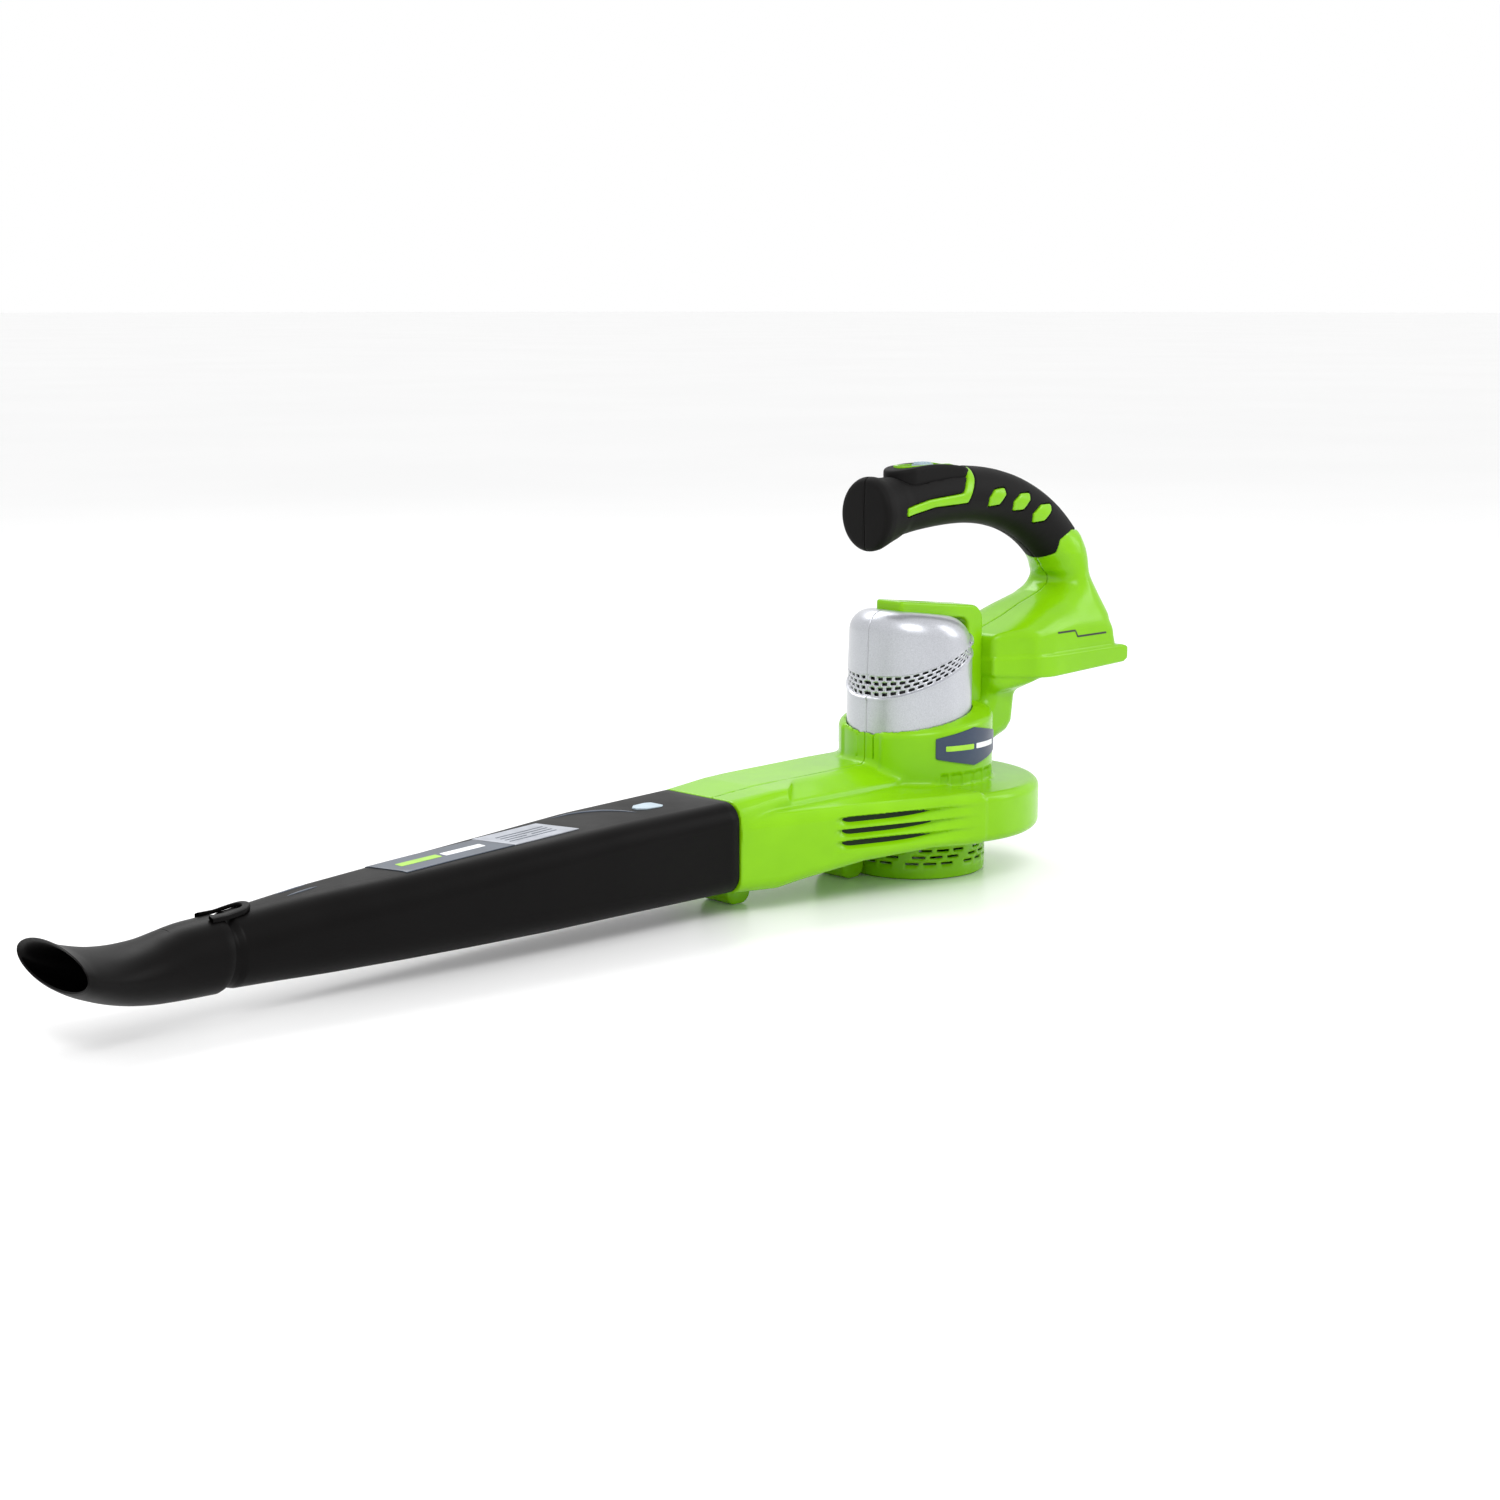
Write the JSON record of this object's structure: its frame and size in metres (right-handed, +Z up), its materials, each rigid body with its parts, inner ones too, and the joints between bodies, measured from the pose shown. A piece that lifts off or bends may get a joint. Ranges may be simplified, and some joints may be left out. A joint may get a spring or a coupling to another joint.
{
  "type": "cordless leaf blower",
  "caption": "Hand-held cordless leaf blower: round fan housing with an upright motor, straight blow tube with flared nozzle, hooked soft grip and an empty battery dock.",
  "frame": {"origin": "where the upright fan axis meets the underside of the intake base", "axes": "+Z up along the fan axis; -X the way the air leaves the tube; +X the battery dock end; +Y the far side, where the clamshell screws go in"},
  "size_m": [0.8549, 0.172, 0.2822],
  "materials": {
    "green_housing": "glossy moulded lime green ABS",
    "black_tube": "satin moulded black",
    "soft_grip": "matte overmoulded rubber",
    "silver_cover": "silver metallic paint",
    "navy_badge": "printed blank badge",
    "light_print": "printed film label",
    "dark_print": "printed film label",
    "pale_blue": "moulded pale blue-grey",
    "black_plastic": "moulded black",
    "steel": "zinc plated steel",
    "copper": "copper and brass",
    "ferrite": "sintered ferrite",
    "circuit_board": "glass-fibre board",
    "red_wire": "wire insulation",
    "black_wire": "wire insulation"
  },
  "bodies": {
    "housing": {"housing_left": "green_housing", "housing_right": "green_housing", "shell_screw_1": "steel", "shell_screw_2": "steel", "shell_screw_3": "steel", "shell_screw_4": "steel", "shell_screw_5": "steel", "shell_screw_6": "steel", "grip_left": "soft_grip", "grip_right": "soft_grip", "switch_housing": "soft_grip", "switch_frame": "green_housing", "switch_body": "black_plastic", "motor_cover_left": "silver_cover", "motor_cover_right": "silver_cover", "cover_strap": "green_housing", "strap_insert": "dark_print", "badge_left": "navy_badge", "badge_right": "navy_badge", "intake_base": "green_housing", "base_screw_1": "steel", "base_screw_2": "steel", "base_screw_3": "steel", "base_screw_4": "steel", "motor_plate": "steel", "plate_screw_1": "steel", "plate_screw_2": "steel", "plate_screw_3": "steel", "motor_can": "steel", "motor_end_cap": "black_plastic", "magnet_left": "ferrite", "magnet_right": "ferrite", "shaft_bush": "copper", "terminal_block": "black_plastic", "contact_1": "copper", "contact_2": "copper", "contact_3": "copper", "control_board": "circuit_board", "red_lead": "red_wire", "black_lead": "black_wire"},
    "rotor": {"motor_shaft": "steel", "armature": "copper", "impeller": "black_plastic", "impeller_washer": "steel", "impeller_nut": "steel"},
    "speed_switch": {"switch_slider": "pale_blue"},
    "catch": {"tube_catch": "pale_blue"},
    "tube": {"blower_tube": "black_tube", "tube_label_dark": "dark_print", "tube_label_light": "light_print"},
    "nozzle_piece": {"nozzle": "black_tube"}
  },
  "joints": [
    {"name": "fan_spin", "type": "hinge", "parent": "housing", "child": "rotor", "pos_m": [0, 0, 0.1], "axis": [0, 0, 1], "continuous": true},
    {"name": "switch_slide", "type": "slide", "parent": "housing", "child": "speed_switch", "axis": [-1, 0, 0], "range_m": [0, 0.012]},
    {"name": "catch_press", "type": "hinge", "parent": "housing", "child": "catch", "pos_m": [-0.2142, 0.012, 0.06885], "axis": [0, -1, 0], "range_deg": [0, 6], "stiffness_Nm_per_rad": 1.5},
    {"name": "tube_slide", "type": "slide", "parent": "housing", "child": "tube", "axis": [-1, 0, 0], "range_m": [0, 0.09], "deforming": ["tube_catch"]},
    {"name": "nozzle_slide", "type": "slide", "parent": "tube", "child": "nozzle_piece", "axis": [-1, 0, 0], "range_m": [0, 0.045]}
  ]
}
